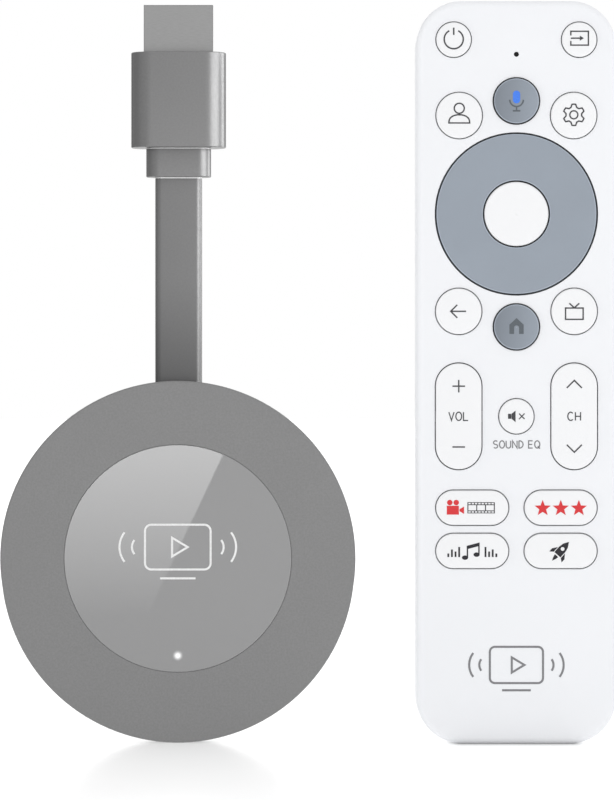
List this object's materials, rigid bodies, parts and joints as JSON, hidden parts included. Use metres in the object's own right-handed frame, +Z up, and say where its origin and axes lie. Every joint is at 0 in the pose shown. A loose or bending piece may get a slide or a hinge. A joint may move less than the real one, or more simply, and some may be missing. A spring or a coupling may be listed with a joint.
{
  "type": "streaming media player",
  "caption": "Round media player hanging from an HDMI plug on a short flat lead, with its slim keyed remote control standing beside it.",
  "frame": {"origin": "centre of the HDMI plug's shoulder, where the plug stops against the television's socket", "axes": "+Z up, the way the plug points; the fronts of the player and the remote face -Y; the remote stands at +X"},
  "size_m": [0.1229, 0.0186, 0.148],
  "materials": {
    "case_grey": "fine matte grain",
    "lead_grey": "soft satin",
    "steel": "satin",
    "bright_steel": "bright",
    "gold": "gold plated",
    "black_plastic": "matte",
    "board": "satin lacquer",
    "window_grey": "high gloss",
    "tape": "matte",
    "clear": "clear",
    "light": "lit",
    "pad": "soft matte",
    "alloy": "rolled",
    "remote_white": "fine satin",
    "key_white": "satin",
    "key_slate": "satin",
    "mat": "soft matte",
    "cell": "printed wrap",
    "ir_black": "high gloss"
  },
  "bodies": {
    "plug": {"hdmi_shell": "bright_steel", "hdmi_insulator": "black_plastic", "hdmi_contacts": "gold", "plug_board": "board", "plug_shield": "steel", "plug_housing": "case_grey", "plug_collar": "case_grey", "flat_lead": "lead_grey"},
    "player": {"puck_front_shell": "case_grey", "puck_rear_shell": "case_grey", "puck_rear_plate": "tape", "front_window": "window_grey", "window_tape": "tape", "light_pipe": "clear", "status_led": "light", "main_board": "board", "shield_can": "steel", "processor_chips": "black_plastic", "thermal_pad": "pad", "heat_spreader": "alloy", "wifi_antennas": "gold", "lead_grommet": "lead_grey", "lead_header": "black_plastic", "usb_socket": "steel", "reset_switch": "black_plastic", "puck_screws": "steel"},
    "reset": {"reset_button": "case_grey"},
    "remote": {"remote_top_shell": "remote_white", "remote_bottom_shell": "remote_white", "battery_left": "cell", "battery_right": "cell", "battery_springs": "bright_steel", "battery_plates": "bright_steel", "remote_board": "board", "keypad_mat": "mat", "key_domes": "steel", "ir_window": "ir_black", "ir_emitter": "clear", "microphone": "black_plastic", "radio_chip": "black_plastic"},
    "battery_door": {"battery_door": "remote_white"},
    "nav_collar": {"nav_collar": "mat"},
    "nav_ring": {"nav_ring": "key_slate"},
    "volume_rocker": {"volume_rocker": "key_white"},
    "channel_rocker": {"channel_rocker": "key_white"},
    "assistant_key": {"assistant_key": "key_slate"},
    "back_key": {"back_key": "key_white"},
    "guide_key": {"guide_key": "key_white"},
    "home_key": {"home_key": "key_slate"},
    "input_key": {"input_key": "key_white"},
    "mute_key": {"mute_key": "key_white"},
    "ok_key": {"ok_key": "key_white"},
    "power_key": {"power_key": "key_white"},
    "profile_key": {"profile_key": "key_white"},
    "settings_key": {"settings_key": "key_white"},
    "shortcut_key_1": {"shortcut_key_1": "key_white"},
    "shortcut_key_2": {"shortcut_key_2": "key_white"},
    "shortcut_key_3": {"shortcut_key_3": "key_white"},
    "shortcut_key_4": {"shortcut_key_4": "key_white"}
  },
  "joints": [
    {"name": "assistant_press", "type": "slide", "parent": "remote", "child": "assistant_key", "axis": [0, 1, 0], "range_m": [0, 0.0006], "stiffness_N_per_m": 350, "springref_m": -0.001},
    {"name": "back_press", "type": "slide", "parent": "remote", "child": "back_key", "axis": [0, 1, 0], "range_m": [0, 0.0006], "stiffness_N_per_m": 350, "springref_m": -0.001},
    {"name": "battery_door_open", "type": "hinge", "parent": "remote", "child": "battery_door", "pos_m": [0.0675, 0.00825, -0.13125], "axis": [-1, 0, 0], "range_deg": [0, 95]},
    {"name": "cable_flex", "type": "hinge", "parent": "plug", "child": "player", "pos_m": [0, 0, -0.04545], "axis": [1, 0, 0], "range_deg": [-90, 90], "stiffness_Nm_per_rad": 0.02, "deforming": ["flat_lead"]},
    {"name": "channel_rock", "type": "hinge", "parent": "remote", "child": "channel_rocker", "pos_m": [0.079, -0.0072, -0.073], "axis": [1, 0, 0], "range_deg": [-2.5, 2.5], "stiffness_Nm_per_rad": 0.1},
    {"name": "guide_press", "type": "slide", "parent": "remote", "child": "guide_key", "axis": [0, 1, 0], "range_m": [0, 0.0006], "stiffness_N_per_m": 350, "springref_m": -0.001},
    {"name": "home_press", "type": "slide", "parent": "remote", "child": "home_key", "axis": [0, 1, 0], "range_m": [0, 0.0006], "stiffness_N_per_m": 350, "springref_m": -0.001},
    {"name": "input_press", "type": "slide", "parent": "remote", "child": "input_key", "axis": [0, 1, 0], "range_m": [0, 0.0006], "stiffness_N_per_m": 350, "springref_m": -0.001},
    {"name": "mute_press", "type": "slide", "parent": "remote", "child": "mute_key", "axis": [0, 1, 0], "range_m": [0, 0.0006], "stiffness_N_per_m": 350, "springref_m": -0.001},
    {"name": "nav_rock_side", "type": "hinge", "parent": "nav_collar", "child": "nav_ring", "pos_m": [0.0675, -0.0063, -0.0327], "axis": [0, 0, 1], "range_deg": [-1.2, 1.2], "stiffness_Nm_per_rad": 0.15},
    {"name": "nav_rock_up", "type": "hinge", "parent": "remote", "child": "nav_collar", "pos_m": [0.0675, -0.0063, -0.0327], "axis": [1, 0, 0], "range_deg": [-1.2, 1.2], "stiffness_Nm_per_rad": 0.15},
    {"name": "ok_press", "type": "slide", "parent": "remote", "child": "ok_key", "axis": [0, 1, 0], "range_m": [0, 0.0006], "stiffness_N_per_m": 350, "springref_m": -0.001},
    {"name": "power_press", "type": "slide", "parent": "remote", "child": "power_key", "axis": [0, 1, 0], "range_m": [0, 0.0006], "stiffness_N_per_m": 350, "springref_m": -0.001},
    {"name": "profile_press", "type": "slide", "parent": "remote", "child": "profile_key", "axis": [0, 1, 0], "range_m": [0, 0.0006], "stiffness_N_per_m": 350, "springref_m": -0.001},
    {"name": "remote_lift", "type": "slide", "parent": "plug", "child": "remote", "axis": [0, 0, 1], "range_m": [0, 0.06]},
    {"name": "reset_press", "type": "slide", "parent": "player", "child": "reset", "axis": [-0.5, 0, 0.866], "range_m": [0, 0.0004], "stiffness_N_per_m": 500, "springref_m": -0.001},
    {"name": "settings_press", "type": "slide", "parent": "remote", "child": "settings_key", "axis": [0, 1, 0], "range_m": [0, 0.0006], "stiffness_N_per_m": 350, "springref_m": -0.001},
    {"name": "shortcut_1_press", "type": "slide", "parent": "remote", "child": "shortcut_key_1", "axis": [0, 1, 0], "range_m": [0, 0.0006], "stiffness_N_per_m": 350, "springref_m": -0.001},
    {"name": "shortcut_2_press", "type": "slide", "parent": "remote", "child": "shortcut_key_2", "axis": [0, 1, 0], "range_m": [0, 0.0006], "stiffness_N_per_m": 350, "springref_m": -0.001},
    {"name": "shortcut_3_press", "type": "slide", "parent": "remote", "child": "shortcut_key_3", "axis": [0, 1, 0], "range_m": [0, 0.0006], "stiffness_N_per_m": 350, "springref_m": -0.001},
    {"name": "shortcut_4_press", "type": "slide", "parent": "remote", "child": "shortcut_key_4", "axis": [0, 1, 0], "range_m": [0, 0.0006], "stiffness_N_per_m": 350, "springref_m": -0.001},
    {"name": "volume_rock", "type": "hinge", "parent": "remote", "child": "volume_rocker", "pos_m": [0.056, -0.0072, -0.073], "axis": [1, 0, 0], "range_deg": [-2.5, 2.5], "stiffness_Nm_per_rad": 0.1}
  ]
}
